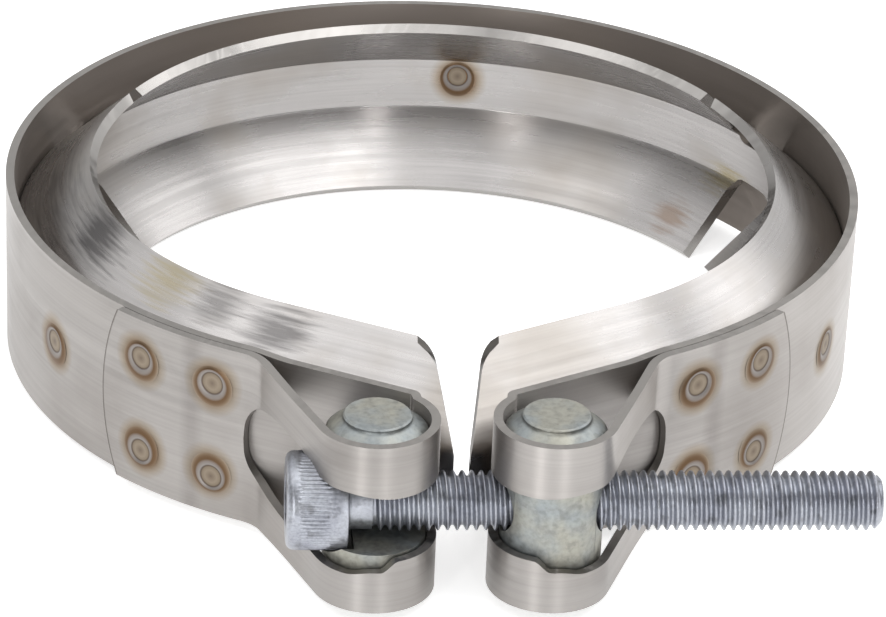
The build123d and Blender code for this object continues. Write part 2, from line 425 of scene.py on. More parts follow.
@dataclass(frozen=True)
class SheetSteel:
    """Bright rolled stainless sheet with brushing, fine scratches, smudges and weld heat tint, with painted
    shade and painted reflection on faces turned towards the ring's axis and painted shade lines at the plates'
    ends and bends.
    """

    name: str
    color: Triple
    smudge: Triple
    roughness: float
    smudge_share: float
    # painted shade and painted reflection: colour for faces turned towards the ring's axis
    inside: Optional[Triple] = None
    welds: tuple[Vector, ...] = ()
    ringed: bool = False
    streaks: float = 0.0
    stretch: float = 0.8
    cut_color: Triple = (0.15, 0.14, 0.13)
    # painted shadow lines at the plates' ends and painted shade along their bends
    plate: Optional[PlateShadeLines] = None
    color_patches: tuple[ColorPatch, ...] = ()
    end_color: Triple = (0.12, 0.11, 0.10)
    streak_color: Triple = (0.16, 0.15, 0.15)
    halo_reach: float = 4.6
    halo: tuple[tuple[float, Triple], ...] = (
        (0.0, (0.11, 0.06, 0.03)),
        (0.52, (0.14, 0.075, 0.03)),
        (0.8, (0.26, 0.19, 0.10)),
    )
    rings: tuple[tuple[float, Triple], ...] = (
        (0.00, (0.16, 0.125, 0.10)),
        (0.14, (0.21, 0.17, 0.13)),
        (0.30, (0.26, 0.215, 0.165)),
        (0.44, (0.22, 0.18, 0.135)),
        (0.51, (0.10, 0.075, 0.06)),
        (0.57, (0.27, 0.25, 0.235)),
        (0.68, (0.22, 0.19, 0.17)),
        (0.76, (0.13, 0.08, 0.045)),
    )

    def material(self) -> Material:
        """Build the material on the piece's own flat pattern and object place."""
        material, ink, shader = new_material(self.name)
        flat = ink.add("ShaderNodeUVMap", uv_map="flat").outputs["UV"]
        place = ink.add("ShaderNodeTexCoord").outputs["Object"]
        fine = ink.noise(flat, (40.0, 2600.0, 1.0), 4.0)
        scratch = ink.noise(flat, (14.0, 910.0, 0.35), 8.0)
        cloud = ink.noise(place, (55.0, 55.0, 70.0), 4.0)
        broad = ink.ramp(ink.noise(place, (22.0, 22.0, 30.0), 2.0), (0.3, 0.9), (0.7, 1.06))
        base = ink.shade(self.color, ink.ramp(fine, (0.3, 0.94), (0.5, 1.0), (0.72, 1.04)))
        if self.streaks:
            base = self.add_streaks(ink, flat, base)
        smudged = ink.times(ink.ramp(cloud, (0.48, 0.0), (0.7, 1.0)), self.smudge_share)
        base = ink.shade(ink.blend(smudged, base, self.smudge), broad)
        drag = ink.noise(flat, (110.0, 1700.0, 1.0), 9.0)
        for color_patch in self.color_patches:
            base = color_patch.add(ink, place, drag, base)
        rough = ink.plus(ink.ramp(scratch, (0.35, 0.0), (0.65, 0.07)), self.roughness)
        rough = ink.plus(rough, ink.ramp(cloud, (0.4, 0.0), (0.75, 0.1)))
        # Painted shade and painted reflection: faces turned towards the ring's axis take the darker inside
        # colour.
        if self.inside is not None:
            base = ink.blend(self.facing_axis(ink), base, ink.shade(self.inside, broad))
        base = self.add_halos(ink, place, cloud, base)
        # Painted shadow lines at the plates' ends and painted shade along their bends.
        if self.plate is not None:
            base = self.plate.add(ink, flat, base)
        if self.ringed:
            ring = ink.add("ShaderNodeAttribute", attribute_name="ring").outputs["Fac"]
            base = ink.blend(ink.ramp(ring, (0.76, 1.0), (0.98, 0.0)), base, ink.colors(ring, self.rings))
        else:
            base = self.add_cuts(ink, base)
            tangent = ink.add("ShaderNodeTangent", direction_type="UV_MAP", uv_map="flat").outputs[0]
            ink.fill(shader, {"Tangent": tangent, "Anisotropic": self.stretch, "Anisotropic Rotation": 0.25})
        normal = ink.bump(scratch, 0.12, 0.00002)
        ink.fill(shader, {"Base Color": base, "Roughness": rough, "Metallic": 1.0, "Normal": normal})
        return material

    def add_streaks(self, ink: Ink, flat: Socket, base: Socket) -> Socket:
        """Add broken rolling streaks.

        Args:
            ink: Where the nodes are added.
            flat: The flat pattern's coordinates.
            base: The colour so far.

        Returns:
            The new colour.
        """
        pulled = ink.ramp(ink.noise(flat, (70.0, 900.0, 1.0), 6.0), (0.48, 0.0), (0.7, 1.0))
        patch = ink.ramp(ink.noise(flat, (28.0, 120.0, 1.0), 5.0), (0.45, 0.0), (0.62, 1.0))
        return ink.blend(ink.times(ink.times(pulled, patch), self.streaks), base, self.streak_color)

    def add_halos(self, ink: Ink, place: Socket, cloud: Socket, base: Socket) -> Socket:
        """Add the heat tints round the spot welds.

        Args:
            ink: Where the nodes are added.
            place: Object coordinates.
            cloud: Noise that breaks up the border.
            base: The colour so far.

        Returns:
            The new colour.
        """
        away = ink.times(ink.nearest(place, self.welds), 1.0 / (self.halo_reach * MM))
        away = ink.plus(away, ink.times(ink.minus(cloud, 0.5), 0.5))
        share = ink.ramp(away, (0.45, 0.95), (0.6, 0.8), (0.78, 0.42), (1.0, 0.0))
        return ink.blend(share, base, ink.colors(away, self.halo))

    def add_cuts(self, ink: Ink, base: Socket) -> Socket:
        """Colour the sheared edges and the rough ends.

        Args:
            ink: Where the nodes are added.
            base: The colour so far.

        Returns:
            The new colour.
        """
        cut = ink.split(ink.add("ShaderNodeUVMap", uv_map="cut").outputs["UV"])["X"]
        edge = ink.colors(cut, ((0.7, self.cut_color), (0.95, self.end_color)))
        return ink.blend(ink.ramp(cut, (0.2, 0.0), (0.6, 1.0)), base, edge)

    def facing_axis(self, ink: Ink) -> Socket:
        """Share of a face that looks towards the ring's axis, which takes the painted inside shade.

        Args:
            ink: Where the nodes are added.

        Returns:
            A value from 0 outside to 1 inside.
        """
        coords = ink.add("ShaderNodeTexCoord").outputs
        level = ink.vector("MULTIPLY", coords["Object"], (1.0, 1.0, 0.0))
        product = ink.vector("DOT_PRODUCT", coords["Normal"], ink.vector("NORMALIZE", level))
        return ink.ramp(ink.plus(ink.times(product, -0.5), 0.5), (0.6, 0.0), (0.8, 1.0))


@dataclass(frozen=True)
class Plating:
    """Thin cast-looking plating over steel: zinc on the pins, zinc flake on the bolt."""

    name: str
    color: Triple
    tint: Triple
    roughness: float
    metallic: float
    grain_size: float = 0.7
    spots: float = 0.3
    spot_color: Triple = (0.09, 0.09, 0.09)

    def material(self) -> Material:
        """Build the material on the object's place."""
        material, ink, shader = new_material(self.name)
        place = ink.add("ShaderNodeTexCoord").outputs["Object"]
        grain = ink.noise(place, (1.0 / (self.grain_size * MM),) * 3, 5.0)
        tinted = ink.ramp(ink.noise(place, (190.0,) * 3, 3.0), (0.38, 0.0), (0.66, 1.0))
        base = ink.blend(tinted, self.color, self.tint)
        base = ink.shade(base, ink.ramp(grain, (0.3, 0.82), (0.5, 1.0), (0.7, 1.15)))
        spot = ink.ramp(ink.noise(place, (620.0,) * 3, 6.0), (0.54, 0.0), (0.68, self.spots))
        base = ink.blend(spot, base, self.spot_color)
        rough = ink.plus(ink.ramp(grain, (0.3, 0.0), (0.7, 0.15)), self.roughness)
        normal = ink.bump(grain, 0.35, 0.00004)
        ink.fill(shader, {"Base Color": base, "Roughness": rough, "Metallic": self.metallic, "Normal": normal})
        return material


def make_object(name: str, build: Shape, material: Optional[Material] = None) -> Piece:
    """Turn mesh data into an object at the origin.

    Args:
        name: The piece's name.
        build: The mesh data, which is freed.
        material: Its material.

    Returns:
        The new object.
    """
    mesh = bpy.data.meshes.new(name)
    build.to_mesh(mesh)
    build.free()
    if material is not None:
        mesh.materials.append(material)
        mesh.shade_smooth()
    made = bpy.data.objects.new(name, mesh)
    bpy.context.scene.collection.objects.link(made)
    return made


def bake(made: Piece) -> None:
    """Apply an object's modifiers to its mesh.

    Args:
        made: The object, which gets a plain mesh.
    """
    bpy.context.view_layer.update()
    graph = bpy.context.evaluated_depsgraph_get()
    mesh = bpy.data.meshes.new_from_object(made.evaluated_get(graph))
    made.modifiers.clear()
    old = made.data
    made.data = mesh
    bpy.data.meshes.remove(old)


def soften(made: Piece, width: float, angle: float = 40.0) -> None:
    """Round the sharp edges of a piece.

    Args:
        made: The object.
        width: The rounding's width in millimetres.
        angle: Edges sharper than this are rounded.
    """
    bevel = made.modifiers.new("edges", "BEVEL")
    bevel.width = width * MM
    bevel.segments = 2
    bevel.limit_method = "ANGLE"
    bevel.angle_limit = math.radians(angle)
    bevel.harden_normals = True


def turn_out(made: Piece, slivers: bool) -> None:
    """Point a closed mesh's faces outwards.

    Args:
        made: The object.
        slivers: Whether slivers are dissolved first.
    """
    build = bmesh.new()
    build.from_mesh(made.data)
    if slivers:
        bmesh.ops.dissolve_degenerate(build, edges=build.edges, dist=SLIVER)
    bmesh.ops.recalc_face_normals(build, faces=build.faces)
    build.to_mesh(made.data)
    build.free()
    made.data.shade_smooth()


def skin(build: Shape, rows: Sequence[Sequence[bmesh.types.BMVert]], closed: bool = True) -> None:
    """Join neighbouring rows of corners with faces.

    Args:
        build: The mesh data.
        rows: Rows of equally many corners, or of one corner at a pole.
        closed: Whether each row runs round.
    """
    for near, far in zip(rows, rows[1:]):
        count = max(len(near), len(far))
        for i in range(count if closed else count - 1):
            j = (i + 1) % count
            corners = (near[i % len(near)], near[j % len(near)], far[j % len(far)], far[i % len(far)])
            build.faces.new(list(dict.fromkeys(corners)))


def add_bar(build: Shape, corners: Iterable[Vector], run: Vector) -> None:
    """Add a straight closed bar.

    Args:
        build: The mesh data.
        corners: Corners of its first end, in millimetres.
        run: From its first end to its other end, in millimetres.
    """
    corners = list(corners)
    ends = [[build.verts.new((corner + shift) * MM) for corner in corners] for shift in (Vector(), run)]
    for end in ends:
        build.faces.new(end)
    skin(build, ends)


def cut_away(made: Piece, bars: Shape, overlapping: bool = False) -> None:
    """Cut shapes out of a piece.

    Args:
        made: The piece.
        bars: The shapes, which are freed.
        overlapping: Whether the shapes run into each other.
    """
    bmesh.ops.recalc_face_normals(bars, faces=bars.faces)
    cutter = make_object("cutter", bars)
    mesh = cutter.data
    cut = made.modifiers.new("cut", "BOOLEAN")
    cut.operation = "DIFFERENCE"
    cut.solver = "EXACT"
    cut.use_self = overlapping
    cut.object = cutter
    bake(made)
    bpy.data.objects.remove(cutter)
    bpy.data.meshes.remove(mesh)


def start_sheet() -> Shape:
    """Start a sheet with one map for its flat pattern and one for its cut edges."""
    build = bmesh.new()
    for name in ("flat", "cut"):
        build.loops.layers.uv.new(name)
    return build


def add_face(build: Shape, corners: Sequence[Corner], cut: float = 0.0) -> None:
    """Add a face to a sheet.

    Args:
        build: The sheet.
        corners: Its corners, each with its place in the flat pattern in millimetres.
        cut: SHEARED on an edge, SAWN on a rough end and 0 elsewhere.
    """
    face = build.faces.new([vert for vert, _, _ in corners])
    maps = build.loops.layers.uv
    for loop, (_, along, across) in zip(face.loops, corners):
        loop[maps["flat"]].uv = (along * MM, across * MM)
        loop[maps["cut"]].uv = (cut, 0.0)


def start_tree(name: str, numbers: Iterable[str]) -> tuple[Ink, bpy.types.bpy_prop_collection]:
    """Start a geometry tree.

    Args:
        name: The tree's name.
        numbers: Names of the numbers it takes.

    Returns:
        The tree's ink and the geometry and numbers that it is given, by name.
    """
    tree = bpy.data.node_groups.new(name, "GeometryNodeTree")
    for way in ("INPUT", "OUTPUT"):
        tree.interface.new_socket("Geometry", in_out=way, socket_type="NodeSocketGeometry")
    for number in numbers:
        tree.interface.new_socket(number, in_out="INPUT", socket_type="NodeSocketFloat")
    ink = Ink(tree)
    return ink, ink.add("NodeGroupInput").outputs


def finish_tree(ink: Ink, shape: Socket, material: Material) -> None:
    """End a geometry tree with real geometry and its material.

    Args:
        ink: The tree's ink.
        shape: The geometry so far.
        material: The material to set.
    """
    real = ink.add("GeometryNodeRealizeInstances", {0: shape}).outputs[0]
    welded = ink.add("GeometryNodeMergeByDistance", {"Geometry": real, "Distance": MERGE}).outputs[0]
    paint = ink.add("GeometryNodeSetMaterial", {"Geometry": welded, "Material": material})
    ink.add("NodeGroupOutput", {0: paint.outputs[0]})


def apply_tree(made: Piece, ink: Ink, values: Mapping[str, float]) -> None:
    """Run a geometry tree on an object and keep the plain mesh.

    Args:
        made: The object.
        ink: The tree's ink.
        values: Numbers for the tree's named inputs.
    """
    modifier = made.modifiers.new("rule", "NODES")
    modifier.node_group = ink.tree
    for item in ink.tree.interface.items_tree:
        if item.name in values:
            modifier[item.identifier] = values[item.name]
    bake(made)
    made.data.shade_smooth()


Column = tuple[Vector, Vector, float, Point, float]


@dataclass
class Strap:
    """The folded strap, made as its flat pattern wrapped along its line seen from above."""

    plan: ClampPlan
    band_width: float = 25.5
    loop_width: float = 24.5
    corner_angle: float = 46.4
    bend_angle: float = 34.5
    end_bulge: float = 2.8
    end_steps: int = 26
    narrow: Point = (22.0, 28.0)
    narrow_y: float = -40.0
    slot_y: float = -45.0
    slot_end: float = 27.9
    slot_end_radius: float = 5.6
    slot_head: float = 6.8
    slot_pin: float = 6.2
    slot_tip: float = 4.7
    slot_rest: float = 5.3
    low_steps: tuple[Point, Point] = ((8.9, 11.1), (12.2, 15.6))
    high_steps: tuple[Point, Point] = ((9.0, 16.0), (17.0, 22.0))
    weld_angles: tuple[float, float] = (42.2, 31.4)
    weld_height: float = 6.6
    side_weld_angle: float = 61.5
    edge: float = 0.14

    def half_line(self) -> list[Triple]:
        """Line of the sheet's middle from the right plate's end to the middle of the back."""
        plan = self.plan
        plate = plan.ring_radius + plan.layer_gap + plan.sheet / 2
        band = plan.ring_radius - plan.sheet / 2
        wrap = plan.loop_radius + plan.sheet / 2
        along = plan.pin_along - plan.leave_run
        out = plan.pin_out - plate
        lift = math.asin(wrap / math.hypot(along, out)) + math.atan2(out, along)
        corner = plan.leave_radius * math.tan(lift / 2)
        reach = math.sqrt(along * along + out * out - wrap * wrap)
        tip = self.corner_angle + math.degrees(self.end_bulge / plate)
        trail = Trail(plan.ring_point(tip, plate), 180 + tip)
        trail.mark()
        for i in range(self.end_steps):
            advance = self.end_bulge * (2 * i + 1) / self.end_steps**2
            trail.turn(plate, -math.degrees(advance / plate), step=self.end_bulge)
        trail.turn(plate, -(self.corner_angle - plan.end_angle), step=0.5)
        trail.forward(plan.leave_run - corner, step=0.2)
        trail.turn(plan.leave_radius, math.degrees(lift), step=0.15)
        trail.forward(reach - corner, step=0.15)
        trail.turn(wrap, -(plan.end_angle + math.degrees(lift) + 90), step=0.15)
        trail.turn(wrap, -(90 - plan.end_angle - plan.joggle_end), step=0.1)
        slope, start = math.radians(plan.joggle_slope), math.radians(plan.joggle_end)
        rise = plan.joggle + wrap * (1 - math.cos(start))
        bends = plan.joggle_radius * (1 + math.cos(start) - 2 * math.cos(slope))
        leg = (rise - bends) / math.sin(slope)
        run = plan.joggle_radius * (2 * math.sin(slope) - math.sin(start)) + leg * math.cos(slope)
        trail.turn(plan.joggle_radius, plan.joggle_slope - plan.joggle_end, step=0.15)
        trail.forward(leg, step=0.2)
        trail.turn(plan.joggle_radius, -plan.joggle_slope, step=0.15)
        trail.forward(plan.pin_along + wrap * math.sin(start) - run, step=0.5)
        trail.turn(band, 180 - plan.end_angle, step=0.9)
        return trail.samples

    def half_width(self, x: float, y: float, travel: float) -> float:
        """Half of the strap's width.

        Args:
            x: Distance from the middle plane.
            y: Place towards the back.
            travel: Distance from the plate's tip along the strap.

        Returns:
            Half the width there.
        """
        share = smooth_step(x, *self.narrow) if y < self.narrow_y else 1.0
        width = (self.loop_width + (self.band_width - self.loop_width) * share) / 2
        if travel >= self.end_bulge:
            return width
        radius = (width**2 + self.end_bulge**2) / (2 * self.end_bulge)
        return math.sqrt(max(0.0, radius**2 - (radius - travel) ** 2))

    def slot_edges(self, x: float, y: float, outer: bool) -> Point:
        """Distances of the slot's two edges below and above the middle.

        Args:
            x: Distance from the middle plane.
            y: Place towards the back.
            outer: True on the part of the strap before the loop's tip.

        Returns:
            The lower and the upper distance, 0 where there is no slot.
        """
        if not outer:
            back = y - self.plan.pin_center[1]
            if x > self.plan.pin_center[0] or back >= self.slot_tip:
                return (0.0, 0.0)
            edge = math.sqrt(max(0.0, self.slot_tip**2 - back**2))
            return (edge, edge)
        if x >= self.slot_end or y > self.slot_y:
            return (0.0, 0.0)
        past = max(0.0, x - self.slot_end + self.slot_end_radius)
        rounding = self.slot_end_radius - math.sqrt(self.slot_end_radius**2 - past**2)
        edges = []
        for middle, (first, second) in ((self.slot_pin, self.low_steps), (self.slot_rest, self.high_steps)):
            edge = self.slot_tip + (middle - self.slot_tip) * smooth_step(x, *first)
            edges.append(edge + (self.slot_head - middle) * smooth_step(x, *second) - rounding)
        return (edges[0], edges[1])

    def columns(self) -> list[Column]:
        """Cross lines of the whole strap: middle point, normal, half width, slot edges and travel."""
        half: list[Column] = []
        travel, outer, last = 0.0, True, None
        tip_x = self.plan.pin_center[0] - self.plan.loop_radius - self.plan.sheet / 2
        for x, y, heading in self.half_line():
            travel += math.dist((x, y), last or (x, y))
            last = (x, y)
            outer = outer and x >= tip_x + 1e-6
            turn = math.radians(heading + 90)
            normal = Vector((math.cos(turn), math.sin(turn), 0))
            edges = self.slot_edges(x, y, outer)
            half.append((Vector((x, y, 0)), normal, self.half_width(x, y, travel), edges, travel))
        return half + [
            (Vector((-p.x, p.y, 0)), Vector((-n.x, n.y, 0)), width, edges, 2 * travel - at)
            for p, n, width, edges, at in reversed(half[:-1])
        ]

    def outline(self) -> PlateShadeLines:
        """Where the plates' painted shadow lines and painted bend shade lie in the flat pattern."""
        face = self.plan.ring_radius + self.plan.sheet
        bend = self.end_bulge + math.radians(self.corner_angle - self.bend_angle) * face
        return PlateShadeLines(self.columns()[-1][4], self.end_bulge, self.band_width / 2, bend)

    def weld_spots(self) -> list[Spot]:
        """Places and outward directions of the strap's spot welds, in metres."""
        spots: list[Spot] = []
        face = self.plan.ring_radius + self.plan.layer_gap + self.plan.sheet
        for side in Side:
            for angle in self.weld_angles:
                for height in (self.weld_height, -self.weld_height):
                    spots.append(self.spot(side, angle, face, height))
            spots.append(self.spot(side, self.side_weld_angle, self.plan.ring_radius, 0.0))
        return spots

    def spot(self, side: Side, angle: float, radius: float, height: float) -> Spot:
        """Place and outward direction at an angle from the opening.

        Args:
            side: Which half.
            angle: Degrees from the opening.
            radius: Distance from the ring's axis.
            height: Height above the middle.

        Returns:
            The place in metres and the direction.
        """
        out = self.plan.outward(angle, side)
        return (out * radius + Vector((0, 0, height))) * MM, out

    def build(self, finish: SheetSteel) -> Piece:
        """Make the strap.

        Args:
            finish: The strap's finish.

        Returns:
            The strap's object.
        """
        build = start_sheet()
        rows: list[list[Corner]] = []
        for point, normal, width, slot, travel in self.columns():
            row = []
            for face in (1, -1):
                place = (point + normal * (face * self.plan.sheet / 2)) * MM
                for z in (-width, -slot[0], slot[1], width):
                    row.append((build.verts.new((place.x, place.y, z * MM)), travel, z))
            rows.append(row)
        faces, rims, slot_rims = ((0, 1), (2, 3), (5, 4), (7, 6)), ((4, 0), (3, 7)), ((1, 5), (6, 2))
        for near, far in zip(rows, rows[1:]):
            is_open = near[2][2] > 0 or far[2][2] > 0
            for a, b in faces + rims + slot_rims * is_open:
                add_face(build, (near[a], far[a], far[b], near[b]), SHEARED * ((a, b) not in faces))
        bmesh.ops.remove_doubles(build, verts=build.verts, dist=SLIVER)
        bmesh.ops.dissolve_degenerate(build, edges=build.edges, dist=SLIVER)
        bmesh.ops.recalc_face_normals(build, faces=build.faces)
        strap = make_object("strap", build, finish.material())
        soften(strap, self.edge)
        return strap


@dataclass
class Liner:
    """The V liner, its section swept round the ring and along the straight ends."""

    plan: ClampPlan
    sheet: float = 1.5
    seat: float = 0.05
    web_half: float = 4.0
    run_in: float = 10.4
    rise: float = 9.25
    bend: float = 1.0
    web_gap: float = 2.2
    rim_gap: float = 6.8
    corner: float = 2.0
    notch_angle: float = 118.8
    notch_root: float = 9.0
    notch_rim: float = 4.0
    upper_notch_rim: float = 0.2
    notch_start: float = 3.0
    notch_corner: float = 2.2
    notch_steps: int = 8
    bar_start: float = 40.0
    bar_length: float = 20.4
    weld_angle: float = 172.2
    weld_height: float = 0.9
    straight_steps: int = 30
    straight_travel: float = 33.0
    arc_steps: int = 130
    arc_travel: float = 161.0
    edge: float = 0.2

    @property
    def web_radius(self) -> float:
        """Radius of the middle of the web's sheet."""
        return self.plan.ring_radius - self.plan.sheet - self.seat - self.sheet / 2

    @property
    def rim_top(self) -> float:
        """Height just above the upper rim."""
        return self.web_half + self.rise + 2 * self.sheet

    def section(self) -> list[Triple]:
        """Section line from the lower rim to the upper one: radius, height and direction."""
        leg = math.atan2(self.rise, self.run_in)
        corner = self.web_half + self.sheet / 2 * math.tan((math.pi / 2 - leg) / 2)
        cut = self.bend * math.tan((math.pi / 2 - leg) / 2)
        length = math.hypot(self.rise, self.run_in)
        trail = Trail((self.web_radius - self.run_in, -corner - self.rise), math.degrees(leg))
        trail.mark()
        trail.forward(length - cut, step=0.5)
        trail.turn(self.bend, 90 - math.degrees(leg), step=0.2)
        trail.forward(2 * (corner - cut), step=1.5)
        trail.turn(self.bend, 90 - math.degrees(leg), step=0.2)
        trail.forward(length - cut, step=0.5)
        return trail.samples

    def outline(self) -> list[Triple]:
        """Closed outline of the section: radius, height and distance along the sheet."""
        section = self.section()
        steps = [math.dist(a[:2], b[:2]) for a, b in zip(section, section[1:])]
        faces: list[list[Triple]] = [[], []]
        for (radius, z, heading), mark in zip(section, accumulate(steps, initial=0.0)):
            turn = math.radians(heading - 90)
            for face, half in zip(faces, (self.sheet / 2, -self.sheet / 2)):
                face.append((radius + math.cos(turn) * half, z + math.sin(turn) * half, mark))
        return faces[0] + faces[1][::-1]

    def gap_half(self, z: float) -> float:
        """Half of the opening's width at a height, with the rim's corner rounded off."""
        share = min(1.0, max(0.0, (abs(z) - self.web_half) / self.rise))
        into = min(1.0, max(0.0, (abs(z) - self.web_half - self.rise + self.corner) / self.corner))
        rounding = self.corner * (1 - math.sqrt(1 - into * into))
        return (self.web_gap + (self.rim_gap - self.web_gap) * share) / 2 + rounding

    def place(self, station: float, radius: float, z: float) -> Vector:
        """Point of the liner's right half.

        Args:
            station: From 0 at the opening to 1 where the arc starts, and on to 2 at the back.
            radius: Distance from the ring's axis, square to the line.
            z: Height.

        Returns:
            The point in metres.
        """
        turn = math.radians(self.plan.end_angle)
        if station < 1:
            full = (radius * math.sin(turn) - self.gap_half(z)) / math.cos(turn)
            x, y = self.plan.end_point(full * (1 - station), radius)
        else:
            angle = self.plan.end_angle + (180 - self.plan.end_angle) * (station - 1)
            x, y = self.plan.ring_point(angle, radius)
        return Vector((x, y, z)) * MM

    def build(self, finish: SheetSteel) -> Piece:
        """Make the liner.

        Args:
            finish: The liner's finish.

        Returns:
            The liner's object.
        """
        stations = [i / self.straight_steps for i in range(self.straight_steps + 1)]
        stations += [1 + i / self.arc_steps for i in range(1, self.arc_steps + 1)]
        length = self.straight_travel + self.arc_travel
        right = [(s, self.straight_travel * min(s, 1.0) + self.arc_travel * max(0.0, s - 1)) for s in stations]
        left = [(station, 2 * length - along) for station, along in right[-2::-1]]
        build = start_sheet()
        outline = self.outline()
        rows: list[list[Corner]] = []
        for mirror, half in ((1, right), (-1, left)):
            for station, along in half:
                row = []
                for radius, z, mark in outline:
                    at = self.place(station, radius, z)
                    row.append((build.verts.new((at.x * mirror, at.y, at.z)), along, mark))
                rows.append(row)
        count = len(outline)
        for near, far in zip(rows, rows[1:]):
            for i in range(count):
                j = (i + 1) % count
                rim = i in (count // 2 - 1, count - 1)
                add_face(build, (near[i], far[i], far[j], near[j]), SHEARED * rim)
        for row in (rows[0], rows[-1]):
            end = [(vert, across, along) for vert, along, across in row]
            for i in range(count // 2 - 1):
                add_face(build, (end[i], end[i + 1], end[-2 - i], end[-1 - i]), SAWN)
        bmesh.ops.recalc_face_normals(build, faces=build.faces)
        liner = make_object("liner", build, finish.material())
        self.cut_notches(liner)
        soften(liner, self.edge)
        return liner

    def weld_spot(self) -> Spot:
        """Place and direction of the spot weld inside the web, near the back."""
        out = self.plan.outward(self.weld_angle)
        return (out * (self.web_radius - self.sheet / 2) + Vector((0, 0, self.weld_height))) * MM, -out

    def notch(self, rim: float) -> list[Point]:
        """Outline of a notch.

        Args:
            rim: Its width at the top.

        Returns:
            Places across and heights.
        """
        shift = self.notch_root / 2 - self.notch_corner
        outline = [(rim / 2, self.rim_top), (-rim / 2, self.rim_top)]
        for i in range(-self.notch_steps, self.notch_steps + 1):
            turn = math.pi * (1.5 + i / (2 * self.notch_steps))
            across = shift * ((i > 0) - (i < 0)) + self.notch_corner * math.cos(turn)
            outline.append((across, self.notch_start + self.notch_corner * (1 + math.sin(turn))))
        return outline

    def cut_notches(self, liner: Piece) -> None:
        """Cut the two pairs of notches through the legs.

        Args:
            liner: The liner's object.
        """
        build = bmesh.new()
        layer = build.loops.layers.uv.new("cut")
        for side in Side:
            out = self.plan.outward(self.notch_angle, side)
            across = Vector((-out.y, out.x, 0))
            for end, rim in ((1, self.upper_notch_rim), (-1, self.notch_rim)):
                start = out * self.bar_start
                corners = [start + across * a + Vector((0, 0, end * z)) for a, z in self.notch(rim)]
                add_bar(build, corners, out * self.bar_length)
        for face in build.faces:
            for loop in face.loops:
                loop[layer].uv = (SHEARED, 0.0)
        cut_away(liner, build)


@dataclass
class CrossPin:
    """A turned cross pin with a cone and a low boss at each end, cut for the bolt."""

    plan: ClampPlan
    side: Side
    ends: tuple[Point, ...] = (
        (6.75, 10.35),
        (6.65, 10.65),
        (6.35, 10.95),
        (4.85, 12.0),
        (4.6, 12.2),
        (4.5, 12.4),
        (4.5, 12.68),
        (4.28, 12.9),
        (0.0, 12.9),
    )
    flat: float = 2.8
    flat_radius: float = 6.72
    slot: float = 4.4
    hole: float = 4.0
    reach: float = 10.0
    around: int = 128
    arc_steps: int = 64
    edge: float = 0.12
    edge_angle: float = 35.0

    def build(self, material: Material) -> Piece:
        """Make the pin.

        Args:
            material: Its material.

        Returns:
            The pin's object.
        """
        x, y = self.side.value * self.plan.pin_center[0], self.plan.pin_center[1]
        build = bmesh.new()
        rows = []
        for radius, z in [(r, -z) for r, z in reversed(self.ends)] + list(self.ends):
            turns = [FULL_TURN * i / self.around for i in range(self.around if radius else 1)]
            places = [(x + radius * math.cos(turn), y + radius * math.sin(turn), z) for turn in turns]
            rows.append([build.verts.new(Vector(place) * MM) for place in places])
        skin(build, rows)
        bmesh.ops.recalc_face_normals(build, faces=build.faces)
        pin = make_object(f"cross_pin_{self.side.name.lower()}", build, material)
        cut_away(pin, self.bars(x - self.reach), overlapping=True)
        pin.data.shade_smooth()
        soften(pin, self.edge, self.edge_angle)
        return pin

    def bars(self, start: float) -> Shape:
        """What is cut out of the pin: a hole, or an open slot and a flat.

        Args:
            start: X at which the bars start.

        Returns:
            The bars.
        """
        if self.side is Side.RIGHT:
            cuts = [(self.arc(self.hole, FULL_TURN), 2 * self.reach)]
        else:
            low = self.plan.pin_center[1] - self.reach
            arch = self.arc(self.slot, math.pi) + [(low, -self.slot), (low, self.slot)]
            cuts = [(arch, 2 * self.reach), (self.arc(self.flat_radius, FULL_TURN), self.reach - self.flat)]
        build = bmesh.new()
        for outline, length in cuts:
            add_bar(build, [Vector((start, y, z)) for y, z in outline], Vector((length, 0, 0)))
        return build

    def arc(self, radius: float, sweep: float) -> list[Point]:
        """Y and Z of an arc about the bolt's axis.

        Args:
            radius: The arc's radius.
            sweep: Angle it covers, from +Z through +Y.

        Returns:
            The points, the last one left out on a full circle.
        """
        y = self.plan.pin_center[1]
        turns = [sweep * i / self.arc_steps for i in range(self.arc_steps + (sweep < FULL_TURN))]
        return [(y + radius * math.sin(turn), radius * math.cos(turn)) for turn in turns]


